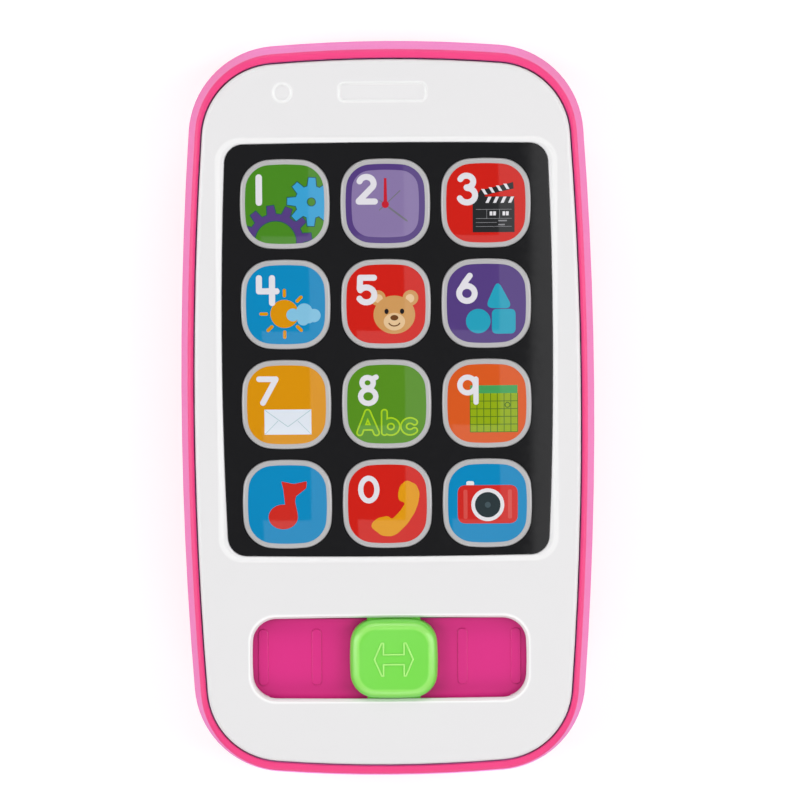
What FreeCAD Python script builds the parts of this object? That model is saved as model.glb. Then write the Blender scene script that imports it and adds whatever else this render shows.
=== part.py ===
"""Toy mobile phone: a two-part plastic case with twelve domed buttons, a sliding knob, a speaker,
two AAA cells behind a screwed door, and a three-position power switch on the back.

Millimetres. The phone lies on its back: +Z points out of the face, +Y towards the earpiece end,
+X to the right of someone who looks at the face. The origin is the middle of the back.
"""

import FreeCAD, Part
import math
import os
from collections import namedtuple

Vector = FreeCAD.Vector

# A rounded rectangle whose four sides bow outwards, each as one arc.
Bowed = namedtuple("Bowed", "width height side_radius end_radius corner_radius")

# ---------------------------------------------------------------- outlines seen from the front
BODY = Bowed(78.5, 140.0, 736.0, 276.0, 17.2)
FACE = Bowed(72.6, 133.0, 733.0, 272.0, 14.1)
FILM = Bowed(62.0, 77.8, 800.0, 1600.0, 3.6)
BUTTON = Bowed(16.8, 16.8, 40.0, 40.0, 5.6)
SLOT = Bowed(51.8, 15.5, 60.0, 1500.0, 4.5)
KNOB = Bowed(16.6, 15.0, 45.0, 55.0, 4.6)

FILM_CENTRE = (0.0, 12.1)
GRID_CENTRE = (-0.2, 11.4)
BUTTON_PITCH = 18.8
SLOT_CENTRE = (0.0, -46.2)
KNOB_REST_X = 0.8
LENS_DIMPLE = (-19.3, 60.4)
EARPIECE = (-0.6, 60.4)
EARPIECE_SIZE = (16.6, 3.7)

BUTTON_ROWS = (
    ("1", "2", "3"),
    ("4", "5", "6"),
    ("7", "8", "9"),
    ("music", "0", "camera"),
)

# ---------------------------------------------------------------- levels above the back
FLOOR = 2.2
WIDEST = 14.0
RIM_TOP = 22.8
FACE_TOP = 23.4
FACE_UNDER = 21.4
FILM_DEPTH = 0.45
FILM_THICKNESS = 0.35
BUTTON_CROWN = 24.45
BUTTON_BOTTOM = 22.0
BUTTON_TRAVEL = 0.8
BOARD_TOP = 19.0
BOARD_THICKNESS = 1.6
BOARD_UNDER = BOARD_TOP - BOARD_THICKNESS
TRACK_TOP = 20.6
TRACK_THICKNESS = 1.4
KNOB_TOP = 25.0
BOSS_MEETING = 11.0

# ---------------------------------------------------------------- case
BACK_INSET = 1.6
RIM_INSET = 1.7
BACK_ROUND = 6.0
RIM_ROUND = 0.7
CAVITY_DRAFT = 1.2
CAVITY_ROUND = 4.0
SEAM = 0.25
SKIRT = 1.6
SKIRT_BOTTOM = 19.2
FACE_ROUND = 0.8
CASE_SCREWS = [(x, y) for x in (-26.5, 26.5) for y in (-57.0, 57.0)]
FRONT_BOSS_RADIUS = 3.5
REAR_BOSS_RADIUS = 4.5
SCREW_WELL_RADIUS = 3.1
SCREW_WELL_DEPTH = 5.0

# ---------------------------------------------------------------- circuit board and keypad
BOARD_SCREWS = [(x, y) for x in (-30.8, 30.8) for y in (-26.0, 12.0, 48.0)]
BOARD_HALF_WIDTH = 33.4
BOARD_Y = (-34.0, 52.0)
TONGUE_HALF_WIDTH = 21.6
TONGUE_END = -58.0
KEYPAD_SIZE = (57.0, 77.0)
KEY_SHRINK = 1.0
KEY_GAP = 0.2
PILL_RADIUS = 3.5

# ---------------------------------------------------------------- slider
RIB_OFFSETS = (-23.9, -13.8, 13.8, 23.9)
RIB_SIZE = (1.9, 10.7)
RIB_HEIGHT = 0.18
FLANGE_HALF_LENGTH = 5.0
FLANGE_REACH = 9.3
LEG_OFFSET = 8.5
WIPER_REACH = 5.0
TRACK_SCREWS = [(-28.9, SLOT_CENTRE[1]), (28.9, SLOT_CENTRE[1])]

# ---------------------------------------------------------------- batteries and their door
CELL_RADIUS = 5.25
CELL_BODY = 43.7
CELL_NUB = 0.8
CELL_X = 5.45
CELL_Z = 7.95
BAY_X = 11.3
BAY_Y = (-49.0, 2.6)
BAY_TOP = 13.5
BAY_WALL = 1.6
DOOR_X = 14.5
DOOR_Y = (-52.1, 13.0)
DOOR_Z = (0.3, 2.1)
DOOR_SCREW = (0.0, 9.5)
TONGUES = (-7.0, 7.0)

# ---------------------------------------------------------------- speaker
SPEAKER = (0.0, 38.0)
SPEAKER_RADIUS = 18.5
SPEAKER_SCREWS = [(-21.4, 38.0), (21.4, 38.0)]
GRILLE_HOLE = 1.0
GRILLE_RINGS = ((0.0, 1), (4.0, 6), (8.0, 12), (12.0, 18))

# ---------------------------------------------------------------- power switch
SWITCH = (24.5, -14.0)
SWITCH_TRAVEL = 8.0
SWITCH_KNOB = (5.0, 5.2)
SWITCH_POSTS = [(SWITCH[0], SWITCH[1] - 12.8), (SWITCH[0], SWITCH[1] + 12.8)]


# ================================================================ shared shapes
def bowed_wire(size, centre=(0.0, 0.0), z=0.0, grow=0.0):
    """The outline as eight tangent arcs. grow moves every side outwards by the same distance."""
    half_width = size.width / 2 + grow
    half_height = size.height / 2 + grow
    side, end = size.side_radius + grow, size.end_radius + grow
    corner = size.corner_radius + grow
    side_centre = Vector(half_width - side, 0, 0)
    end_centre = Vector(0, half_height - end, 0)
    to_side, to_end = side - corner, end - corner
    between = end_centre - side_centre
    gap = between.Length
    along = (to_side**2 - to_end**2 + gap**2) / (2 * gap)
    across = math.sqrt(to_side**2 - along**2)
    unit = between * (1 / gap)
    corner_centre = side_centre + unit * along + Vector(-unit.y, unit.x, 0) * across
    side_unit = (corner_centre - side_centre).normalize()
    end_unit = (corner_centre - end_centre).normalize()
    on_side = side_centre + side_unit * side
    on_end = end_centre + end_unit * end
    on_corner = corner_centre + (side_unit + end_unit).normalize() * corner

    def at(point, flip_x, flip_y):
        return Vector(centre[0] + flip_x * point.x, centre[1] + flip_y * point.y, z)

    arcs = []
    for flip in (1, -1):
        right_low, right_high = at(on_side, flip, -flip), at(on_side, flip, flip)
        top_right, top_left = at(on_end, flip, flip), at(on_end, -flip, flip)
        arcs.append((right_low, at(Vector(half_width, 0, 0), flip, flip), right_high))
        arcs.append((right_high, at(on_corner, flip, flip), top_right))
        arcs.append((top_right, at(Vector(0, half_height, 0), flip, flip), top_left))
        arcs.append((top_left, at(on_corner, -flip, flip), at(on_side, -flip, flip)))
    return Part.Wire([Part.Arc(*points).toShape() for points in arcs])


def bowed_plate(size, low, high, centre=(0.0, 0.0), grow=0.0):
    return Part.Face(bowed_wire(size, centre, low, grow)).extrude(Vector(0, 0, high - low))


def bowed_taper(size, low, low_grow, high, high_grow, centre=(0.0, 0.0)):
    """A plate whose outline grows or shrinks from one level to the other."""
    wires = [bowed_wire(size, centre, low, low_grow), bowed_wire(size, centre, high, high_grow)]
    return Part.makeLoft(wires, True, True)


def box(x, y, z):
    """A box from three (low, high) pairs."""
    return Part.makeBox(x[1] - x[0], y[1] - y[0], z[1] - z[0], Vector(x[0], y[0], z[0]))


def rounded_box(x, y, z, radius):
    """A box with its four upright edges rounded."""
    solid = box(x, y, z)
    upright = [e for e in solid.Edges if abs(e.tangentAt(e.FirstParameter).z) > 0.9]
    return solid.makeFillet(radius, upright)


def around(middle, size):
    """The (low, high) pair of a stretch of that size about its middle."""
    return (middle - size / 2, middle + size / 2)


def cylinder(place, low, high, radius):
    return Part.makeCylinder(radius, high - low, Vector(place[0], place[1], low))


def ring(place, low, high, inner, outer):
    return cylinder(place, low, high, outer).cut(cylinder(place, low - 1, high + 1, inner))


def turned(place, profile):
    """A solid of revolution about the upright axis at place, from (radius, z) corners."""
    corners = [Vector(place[0] + r, place[1], z) for r, z in profile]
    face = Part.Face(Part.makePolygon(corners + corners[:1]))
    return face.revolve(Vector(place[0], place[1], 0), Vector(0, 0, 1), 360)


def joined(shapes):
    return shapes[0].multiFuse(shapes[1:]).removeSplitter()


def rounded_at(solid, level, radius):
    """The solid with every edge that lies at that level rounded."""
    flat = [e for e in solid.Edges if e.BoundBox.ZLength < 1e-6 and abs(e.BoundBox.ZMin - level) < 1e-4]
    return solid.makeFillet(radius, flat)


def cross_recess(place, level, depth, reach=1.5, width=0.8):
    """The cross-shaped tool hole of a screw head, cut upwards from level."""
    z = (level - 0.01, level + depth)
    arms = [box(around(place[0], 2 * reach), around(place[1], width), z)]
    arms.append(box(around(place[0], width), around(place[1], 2 * reach), z))
    return joined(arms)


def screw(place, head, head_radius, shank, shank_radius):
    """A screw driven towards +Z: head and shank are (low, high) levels."""
    cap = rounded_at(cylinder(place, head[0], head[1], head_radius), head[0], 0.4)
    shaft = cylinder(place, head[1] - 0.01, shank, shank_radius)
    point = rounded_at(shaft, shank, shank_radius * 0.45)
    recess = cross_recess(place, head[0], 0.55 * (head[1] - head[0]), head_radius * 0.52, head_radius * 0.27)
    return cap.fuse(point).cut(recess).removeSplitter()


def bent_wire_path(points):
    """Straight runs joined by tangent arcs, each as large as its two runs allow, and the radii used."""
    corners = [Vector(*p) for p in points]
    edges, radii, start = [], [], corners[0]
    for before, corner, after in zip(corners, corners[1:], corners[2:]):
        back, ahead = before - corner, after - corner
        shorter = min(back.Length, ahead.Length)
        turn = math.pi - back.getAngle(ahead)
        setback = 0.45 * shorter
        radius = setback / math.tan(turn / 2)
        back, ahead = back.normalize(), ahead.normalize()
        first, last = corner + back * setback, corner + ahead * setback
        to_centre = (back + ahead).normalize()
        centre = corner + to_centre * math.hypot(radius, setback)
        middle = centre - to_centre * radius
        edges.append(Part.LineSegment(start, first).toShape())
        edges.append(Part.Arc(first, middle, last).toShape())
        radii.append(round(radius, 1))
        start = last
    edges.append(Part.LineSegment(start, corners[-1]).toShape())
    return Part.Wire(edges), radii


def wire_tube(name, points, radius):
    path, radii = bent_wire_path(points)
    heading = Vector(*points[1]) - Vector(*points[0])
    section = Part.Wire(Part.makeCircle(radius, Vector(*points[0]), heading))
    tube = path.makePipeShell([section], True, True)
    print(name, "bend radii", radii, "volume ratio", round(tube.Volume / (math.pi * radius**2 * path.Length), 3))
    return tube


# ================================================================ places that several parts share
def button_places():
    """The name and centre of each button, in rows from the earpiece end."""
    for row, names in enumerate(BUTTON_ROWS):
        for column, name in enumerate(names):
            x = GRID_CENTRE[0] + (column - 1) * BUTTON_PITCH
            y = GRID_CENTRE[1] + (1.5 - row) * BUTTON_PITCH
            yield name, (x, y)


# ================================================================ case
def front_housing():
    """White face with the film recess, button windows, slider slot, skirt, bosses and posts."""
    plate = rounded_at(bowed_plate(FACE, FACE_UNDER, FACE_TOP), FACE_TOP, FACE_ROUND)
    skirt = bowed_plate(FACE, SKIRT_BOTTOM, FACE_UNDER).cut(
        bowed_plate(FACE, SKIRT_BOTTOM - 1, FACE_UNDER + 1, grow=-SKIRT)
    )
    solids = [plate, skirt]
    solids += [cylinder(p, BOSS_MEETING + 0.1, FACE_UNDER, FRONT_BOSS_RADIUS) for p in CASE_SCREWS]
    solids += [cylinder(p, BOARD_TOP, FACE_UNDER, 2.0) for p in BOARD_SCREWS]
    solids += [cylinder(p, TRACK_TOP, FACE_UNDER, 2.2) for p in TRACK_SCREWS]
    housing = joined(solids)

    recess = FACE_TOP - FILM_DEPTH
    cuts = [bowed_plate(FILM, recess, FACE_TOP + 1, FILM_CENTRE, 0.12)]
    cuts.append(bowed_taper(FILM, FACE_TOP - 0.22, 0.12, FACE_TOP + 0.22, 2.4, FILM_CENTRE))
    cuts += [bowed_plate(BUTTON, FACE_UNDER - 1, FACE_TOP, place, 0.2) for _, place in button_places()]
    cuts.append(bowed_plate(SLOT, FACE_UNDER - 1, FACE_TOP + 1, SLOT_CENTRE))
    cuts.append(bowed_taper(SLOT, FACE_TOP - 0.7, 0.0, FACE_TOP + 0.35, 0.7, SLOT_CENTRE))
    pocket_x = (SLOT_CENTRE[0] - 22.8, SLOT_CENTRE[0] + 22.8)
    pocket_y = around(SLOT_CENTRE[1], 2 * FLANGE_REACH + 0.8)
    cuts.append(rounded_box(pocket_x, pocket_y, (FACE_UNDER - 0.1, FACE_UNDER + 0.7), 0.8))
    cuts.append(turned(LENS_DIMPLE, [(0, FACE_TOP + 1), (0, FACE_TOP - 0.5), (1.35, FACE_TOP - 0.5),
                                     (1.85, FACE_TOP), (1.85, FACE_TOP + 1)]))
    cuts.append(earpiece_recess())
    cuts += [cylinder(p, BOSS_MEETING - 1, 18.0, 1.43) for p in CASE_SCREWS]
    cuts += [cylinder(p, BOARD_TOP - 1, 22.5, 0.93) for p in BOARD_SCREWS]
    cuts += [cylinder(p, TRACK_TOP - 1, 22.5, 0.93) for p in TRACK_SCREWS]
    return housing.cut(cuts).removeSplitter()


def earpiece_recess():
    """A shallow rounded bar with sloping sides."""
    depth = 0.45
    levels = ((FACE_TOP - depth, -0.38), (FACE_TOP + 0.3, 0.25))
    wires = []
    for level, grow in levels:
        bar = Bowed(EARPIECE_SIZE[0], EARPIECE_SIZE[1], 400.0, 900.0, 1.2)
        wires.append(bowed_wire(bar, EARPIECE, level, grow))
    return Part.makeLoft(wires, True, True)


def rear_housing():
    """Pink tub with its rim round the face, battery bay, speaker ring, bosses and posts."""
    lower = bowed_taper(BODY, 0.0, -BACK_INSET, WIDEST, 0.0)
    upper = bowed_taper(BODY, WIDEST, 0.0, RIM_TOP, -RIM_INSET)
    shell = lower.fuse(upper).removeSplitter()
    shell = rounded_at(shell, 0.0, BACK_ROUND)
    shell = rounded_at(shell, RIM_TOP, RIM_ROUND)
    cavity = rounded_at(bowed_taper(FACE, FLOOR, -CAVITY_DRAFT, SKIRT_BOTTOM - 0.2, SEAM), FLOOR, CAVITY_ROUND)
    opening = bowed_plate(FACE, SKIRT_BOTTOM - 0.2, RIM_TOP + 1, grow=SEAM)
    flare = bowed_taper(FACE, RIM_TOP - 0.2, SEAM, RIM_TOP + 0.1, SEAM + 0.3)
    tub = shell.cut([cavity, opening, flare])

    solids = [tub]
    solids += [cylinder(p, 1.0, BOSS_MEETING, REAR_BOSS_RADIUS) for p in CASE_SCREWS]
    solids += [cylinder(p, 1.0, 11.0, 2.3) for p in SWITCH_POSTS]
    solids += [cylinder(p, 1.0, 4.1, 2.4) for p in SPEAKER_SCREWS]
    solids.append(ring(SPEAKER, 1.0, 4.0, SPEAKER_RADIUS + 0.4, SPEAKER_RADIUS + 1.8))
    bay_x = (-BAY_X - BAY_WALL, BAY_X + BAY_WALL)
    bay_y = (BAY_Y[0] - BAY_WALL, BAY_Y[1] + BAY_WALL)
    solids.append(box(bay_x, bay_y, (FLOOR - 0.5, BAY_TOP + BAY_WALL)))
    ledge = 2.5
    solids.append(rounded_box((-DOOR_X - ledge, DOOR_X + ledge), (DOOR_Y[0] - 3.4, DOOR_Y[1] + ledge),
                              (FLOOR - 0.5, FLOOR + 1.6), 3.0))
    solids.append(cylinder(DOOR_SCREW, FLOOR, 9.4, 3.6))
    housing = joined(solids)

    gap = 0.25
    cuts = [box((-BAY_X, BAY_X), BAY_Y, (-1, BAY_TOP))]
    cuts.append(rounded_box((-DOOR_X - gap, DOOR_X + gap), (DOOR_Y[0] - gap, DOOR_Y[1] + gap), (-1, FLOOR), 3.2))
    for x in TONGUES:
        cuts.append(box(around(x, 5.4), (DOOR_Y[0] - 2.8, BAY_Y[0] + 0.1), (FLOOR, FLOOR + 2.0)))
    cuts.append(cylinder(DOOR_SCREW, 0, 8.2, 1.9))
    cuts += [box(around(x, 3.0), (BAY_Y[1] - 0.8, BAY_Y[1] + 0.4), (BAY_TOP - 1, 16)) for x in (-CELL_X, CELL_X)]
    for p in CASE_SCREWS:
        cuts.append(cylinder(p, -1, SCREW_WELL_DEPTH, SCREW_WELL_RADIUS))
        cuts.append(cylinder(p, 0, BOSS_MEETING + 1, 1.6))
    cuts += grille_holes()
    cuts += [cylinder(p, 3.5, 12, 0.93) for p in SWITCH_POSTS]
    cuts += [cylinder(p, 2.6, 5, 0.93) for p in SPEAKER_SCREWS]
    slot_length = SWITCH_KNOB[1] + SWITCH_TRAVEL + 0.6
    cuts.append(rounded_box(around(SWITCH[0], SWITCH_KNOB[0] + 0.6), around(SWITCH[1], slot_length), (-1, 4), 0.8))
    cuts.append(rounded_box(around(SWITCH[0], 9.6), around(SWITCH[1], slot_length + 4), (-1, 0.9), 2.4))
    return housing.cut(cuts).removeSplitter()


def grille_holes():
    holes = []
    for radius, count in GRILLE_RINGS:
        for step in range(count):
            angle = 2 * math.pi * step / count
            place = (SPEAKER[0] + radius * math.cos(angle), SPEAKER[1] + radius * math.sin(angle))
            holes.append(cylinder(place, -1, FLOOR + 1, GRILLE_HOLE))
    return holes


def housing_screws():
    return [screw(p, (3.1, SCREW_WELL_DEPTH), 2.6, 17.0, 1.4) for p in CASE_SCREWS]


# ================================================================ keypad
def screen_overlay():
    """Black printed film with one hole for each domed button."""
    low = FACE_TOP - FILM_DEPTH
    sheet = bowed_plate(FILM, low, low + FILM_THICKNESS, FILM_CENTRE)
    holes = [bowed_plate(BUTTON, low - 1, low + 1, place, 0.12) for _, place in button_places()]
    return sheet.cut(holes)


def button_cap(place):
    """A cap with a crowned top and rounded edges."""
    crown_radius = 48.0
    block = bowed_plate(BUTTON, BUTTON_BOTTOM, BUTTON_CROWN + 1, place)
    ball = Part.makeSphere(crown_radius, Vector(place[0], place[1], BUTTON_CROWN - crown_radius))
    cap = block.common(ball)
    top = max(cap.Faces, key=lambda f: f.CenterOfMass.z)
    return cap.makeFillet(0.45, top.Edges)


def rubber_key(place):
    """The part of the silicone keypad that moves with one button, with its contact pill."""
    body = bowed_plate(BUTTON, BOARD_TOP + 1.0, BUTTON_BOTTOM, place, -KEY_SHRINK)
    pill = cylinder(place, BOARD_TOP + BUTTON_TRAVEL + 0.02, BOARD_TOP + 1.0, PILL_RADIUS)
    return body.fuse(pill).removeSplitter()


def rubber_keypad():
    """The silicone sheet on the board, with a raised wall round each moving key."""
    x, y = around(GRID_CENTRE[0], KEYPAD_SIZE[0]), around(GRID_CENTRE[1], KEYPAD_SIZE[1])
    solids = [rounded_box(x, y, (BOARD_TOP, BOARD_TOP + 1.0), 3.0)]
    wall = -KEY_SHRINK + KEY_GAP + 0.6
    solids += [bowed_plate(BUTTON, BOARD_TOP, BOARD_TOP + 1.8, p, wall) for _, p in button_places()]
    holes = [bowed_plate(BUTTON, BOARD_TOP - 1, 23, p, -KEY_SHRINK + KEY_GAP) for _, p in button_places()]
    return joined(solids).cut(holes)


# ================================================================ circuit board
def circuit_board():
    main = rounded_box((-BOARD_HALF_WIDTH, BOARD_HALF_WIDTH), BOARD_Y, (BOARD_UNDER, BOARD_TOP), 5.0)
    tongue = rounded_box((-TONGUE_HALF_WIDTH, TONGUE_HALF_WIDTH), (TONGUE_END, BOARD_Y[0] + 6),
                         (BOARD_UNDER, BOARD_TOP), 2.0)
    holes = [cylinder(p, 17, 20, 1.2) for p in BOARD_SCREWS]
    return joined([main, tongue]).cut(holes)


def board_screws():
    return [screw(p, (BOARD_UNDER - 1.2, BOARD_UNDER), 1.9, 22.3, 0.9) for p in BOARD_SCREWS]


def sound_chip():
    """A flat drop of black resin over the bonded chip, under the board."""
    place, radius, height = (13.0, 22.0), 5.5, 1.5
    ball_radius = (radius**2 + height**2) / (2 * height)
    ball = Part.makeSphere(ball_radius, Vector(place[0], place[1], BOARD_UNDER - height + ball_radius))
    return ball.common(box(around(place[0], 20), around(place[1], 20), (BOARD_UNDER - 5, BOARD_UNDER)))


def board_components():
    """Chip resistors and capacitors, and one electrolytic can, under the board."""
    chip_z = (BOARD_UNDER - 0.7, BOARD_UNDER)
    places = [(22.0, 16.0 + 3.2 * step) for step in range(5)] + [(6.0 + 3.4 * step, 31.5) for step in range(5)]
    chips = [box(around(x, 2.0), around(y, 1.25), chip_z) for x, y in places]
    can = rounded_at(cylinder((-18.0, 18.0), BOARD_UNDER - 5.4, BOARD_UNDER, 2.5), BOARD_UNDER - 5.4, 0.4)
    return chips + [can]


# ================================================================ slider
def slider_track():
    """Pink floor of the slot, with four ribs and a slot for the knob's leg that the face hides."""
    cx, cy = SLOT_CENTRE
    low = TRACK_TOP - TRACK_THICKNESS
    solids = [rounded_box((cx - 31.5, cx + 31.5), (cy - 4.6, cy + 12.4), (low, TRACK_TOP), 2.0)]
    solids.append(bowed_plate(SLOT, low, TRACK_TOP, SLOT_CENTRE, 1.0))
    solids.append(rounded_box((cx - 22.2, cx + 22.2), (cy - 10.4, cy), (low, TRACK_TOP), 1.0))
    for offset in RIB_OFFSETS:
        x, y = around(cx + offset, RIB_SIZE[0]), around(cy, RIB_SIZE[1])
        bar = rounded_box(x, y, (TRACK_TOP - 0.2, TRACK_TOP + RIB_HEIGHT), RIB_SIZE[0] * 0.45)
        solids.append(rounded_at(bar, TRACK_TOP + RIB_HEIGHT, 0.16))
    leg_y = (cy + LEG_OFFSET - 1.2, cy + LEG_OFFSET + 1.2)
    leg_slot = rounded_box((cx - 24.0, cx + 24.0), leg_y, (low - 1, TRACK_TOP + 1), 1.0)
    holes = [cylinder(p, low - 1, TRACK_TOP + 1, 1.1) for p in TRACK_SCREWS]
    return joined(solids).cut([leg_slot] + holes)


def slider_track_screws():
    low = TRACK_TOP - TRACK_THICKNESS
    return [screw(p, (low - 1.2, low), 1.9, 22.3, 0.9) for p in TRACK_SCREWS]


def knob_place():
    return (SLOT_CENTRE[0] + KNOB_REST_X, SLOT_CENTRE[1])


def slider_knob():
    """Green knob: hollow cap, two flanges held under the face, and a leg for the contact."""
    place = knob_place()
    skirt_bottom = TRACK_TOP + RIB_HEIGHT + 0.15
    cap = rounded_at(bowed_plate(KNOB, skirt_bottom, KNOB_TOP, place), KNOB_TOP, 1.8)
    dish_radius, dish_depth = 70.0, 0.32
    dish = Part.makeSphere(dish_radius, Vector(place[0], place[1], KNOB_TOP - dish_depth + dish_radius))
    cap = cap.cut([dish, bowed_plate(KNOB, 20, KNOB_TOP - 1.9, place, -1.6)])
    flange_x = around(place[0], 2 * FLANGE_HALF_LENGTH)
    flange_z = (TRACK_TOP + 0.2, TRACK_TOP + 1.3)
    solids = [cap]
    for side in (-1, 1):
        y = sorted((place[1] + side * 6.2, place[1] + side * FLANGE_REACH))
        solids.append(box(flange_x, y, flange_z))
    leg_y = around(place[1] + LEG_OFFSET, 1.6)
    solids.append(box(around(place[0], 3.0), leg_y, (BOARD_TOP + 0.75, flange_z[0] + 0.1)))
    solids.append(double_arrow_ridge(place))
    return joined(solids)


def double_arrow_ridge(place):
    """The outline of a two-headed arrow, raised a little from the dish in the knob's top."""
    width, root, top = 0.34, KNOB_TOP - 0.7, KNOB_TOP - 0.08
    corners = [(-3.65, 0.0), (-2.3, 3.1), (-1.95, 3.1), (-1.95, 0.95), (1.95, 0.95),
               (1.95, 3.1), (2.3, 3.1), (3.65, 0.0)]
    corners += [(-x, -y) for x, y in corners[1:-1]]
    points = [Vector(place[0] + x, place[1] + y, root) for x, y in corners]
    outline = Part.makePolygon(points + points[:1])
    outer = outline.makeOffset2D(width / 2, 0, False, False, False)
    inner = outline.makeOffset2D(-width / 2, 0, False, False, False)
    lift = Vector(0, 0, top - root)
    ridge = Part.Face(outer).extrude(lift).cut(Part.Face(inner).extrude(lift))
    return rounded_at(ridge, top, 0.1)


def slider_contact():
    """A springy metal wiper under the knob's leg, with two arms that press on the board."""
    x, y = knob_place()[0], knob_place()[1] + LEG_OFFSET
    top, thickness, tip = BOARD_TOP + 0.75, 0.2, BOARD_TOP + 0.23
    upper = [(-WIPER_REACH, tip + 0.12), (-WIPER_REACH + 0.7, tip), (-1.5, top), (1.5, top),
             (WIPER_REACH - 0.7, tip), (WIPER_REACH, tip + 0.12)]
    lower = [(px, pz - thickness) for px, pz in reversed(upper)]
    corners = [Vector(x + px, y - 0.7, pz) for px, pz in upper + lower]
    face = Part.Face(Part.makePolygon(corners + corners[:1]))
    return face.extrude(Vector(0, 1.4, 0))


# ================================================================ batteries
def battery(x, nub_up):
    """One AAA cell lying along Y, with its positive nub towards +Y or -Y."""
    middle = sum(BAY_Y) / 2
    toward = 1 if nub_up else -1
    nub_tip = middle + toward * 23.4
    shoulder = nub_tip - toward * CELL_NUB
    direction = Vector(0, -toward, 0)
    body = Part.makeCylinder(CELL_RADIUS, CELL_BODY, Vector(x, shoulder, CELL_Z), direction)
    rims = [e for e in body.Edges if e.BoundBox.YLength < 1e-6]
    body = body.makeFillet(0.5, rims)
    nub = Part.makeCylinder(1.9, CELL_NUB + 0.5, Vector(x, nub_tip, CELL_Z), direction)
    return body.fuse(nub).removeSplitter()


def coil_spring(x, wall_y, toward):
    """A conical spring with its wide end on the end wall and its narrow end on a cell, wound in half turns."""
    wire, half_turns, rise, widest, narrowing = 0.25, 8, 0.465, 2.3, 0.09
    ends = []
    for turn in range(half_turns + 1):
        side = 1 if turn % 2 == 0 else -1
        ends.append(Vector(side * (widest - narrowing * turn), 0, rise * turn))
    turns = []
    for start, end in zip(ends, ends[1:]):
        bulge = Vector(0, 1 if start.x > 0 else -1, 0)
        middle = (start + end) / 2
        section = Part.Face(Part.Wire(Part.makeCircle(wire, start, bulge)))
        turns.append(section.revolve(middle, (start - middle).cross(bulge).normalize(), 180))
    coil = joined(turns)
    coil.translate(Vector(0, 0, -rise * half_turns))
    coil.rotate(Vector(0, 0, 0), Vector(1, 0, 0), 90 if toward > 0 else -90)
    coil.translate(Vector(x, wall_y, CELL_Z))
    return coil


def battery_springs():
    """One spring for each cell, at opposite ends of the bay."""
    low, high = BAY_Y[0] + 0.4, BAY_Y[1] - 0.4
    reach = 0.28
    left = coil_spring(-CELL_X, low + reach, 1)
    right = coil_spring(CELL_X, high - reach, -1)
    return [left, right]


def contact_plates():
    """Two separate plates at the upper end, each with a solder tab, and the bridge at the lower end."""
    high = (BAY_Y[1] - 0.4, BAY_Y[1])
    plates = []
    for x in (-CELL_X, CELL_X):
        plates.append([box(around(x, 9.0), high, (3.9, BAY_TOP - 0.1)),
                       box(around(x, 2.4), high, (BAY_TOP - 0.2, BAY_TOP + BAY_WALL + 0.9))])
    bump = Part.makeCylinder(1.6, 1.85, Vector(-CELL_X, high[0] + 0.1, CELL_Z), Vector(0, -1, 0))
    plates[0].append(bump)
    low = (BAY_Y[0], BAY_Y[0] + 0.4)
    bridge = [box((-10.4, 10.4), low, (4.4, BAY_TOP - 0.1))]
    bridge.append(Part.makeCylinder(1.6, 1.85, Vector(CELL_X, low[1] - 0.1, CELL_Z), Vector(0, 1, 0)))
    return joined(plates[0]), joined(plates[1]), joined(bridge)


def battery_door():
    """Back cover of the bay: plate with two tongues at one end and a screw hole at the other."""
    plate = rounded_box((-DOOR_X, DOOR_X), DOOR_Y, DOOR_Z, 3.0)
    plate = rounded_at(plate, DOOR_Z[0], 0.4)
    solids = [plate]
    for x in TONGUES:
        solids.append(box(around(x, 4.8), (DOOR_Y[0] - 2.2, DOOR_Y[0] + 2.6), (FLOOR + 0.1, FLOOR + 1.2)))
        solids.append(box(around(x, 4.8), (DOOR_Y[0] + 0.3, DOOR_Y[0] + 2.6), (DOOR_Z[1] - 0.3, FLOOR + 0.2)))
    cuts = [cylinder(DOOR_SCREW, 0, 1.25, 3.1), cylinder(DOOR_SCREW, 0, 3, 1.6)]
    for step in range(5):
        y = DOOR_Y[1] - 11.5 - 2.6 * step
        cuts.append(rounded_box((-7.5, 7.5), around(y, 1.1), (0, DOOR_Z[0] + 0.45), 0.5))
    return joined(solids).cut(cuts)


def battery_door_screw():
    return screw(DOOR_SCREW, (0.35, 1.24), 2.7, 7.0, 1.4)


# ================================================================ speaker
def speaker_gasket():
    return ring(SPEAKER, FLOOR, FLOOR + 0.7, 14.0, 18.3)


def speaker_frame():
    """Pressed steel basket: flat mounting ring, sloping wall with four windows, and back plate."""
    rim, back, sheet = FLOOR + 0.7, 8.4, 0.8
    profile = [(SPEAKER_RADIUS, rim), (SPEAKER_RADIUS, rim + 1.2), (16.6, rim + 1.2), (11.4, back),
               (4.2, back), (4.2, back - sheet), (10.9, back - sheet), (15.6, rim + 0.6), (15.6, rim)]
    frame = turned(SPEAKER, profile)
    windows = []
    for step in range(4):
        angle = math.radians(45 + 90 * step)
        place = (SPEAKER[0] + 13.4 * math.cos(angle), SPEAKER[1] + 13.4 * math.sin(angle))
        windows.append(cylinder(place, rim, back + 1, 1.7))
    return frame.cut(windows)


def speaker_cone():
    """Paper cone with its rolled edge and a domed dust cap."""
    rim = FLOOR + 0.7
    profile = [(15.4, rim + 0.1), (15.4, rim + 0.5), (14.0, rim + 0.9), (4.6, 7.3), (0, 7.3),
               (0, 6.1), (3.4, 6.6), (4.2, 6.7), (12.8, rim + 0.55), (13.6, rim + 0.1)]
    return turned(SPEAKER, profile)


def speaker_magnet():
    body = cylinder(SPEAKER, 8.4, 13.2, 9.5)
    coil_post = cylinder(SPEAKER, 7.4, 8.5, 3.9)
    return rounded_at(body, 13.2, 0.5).fuse(coil_post).removeSplitter()


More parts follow.
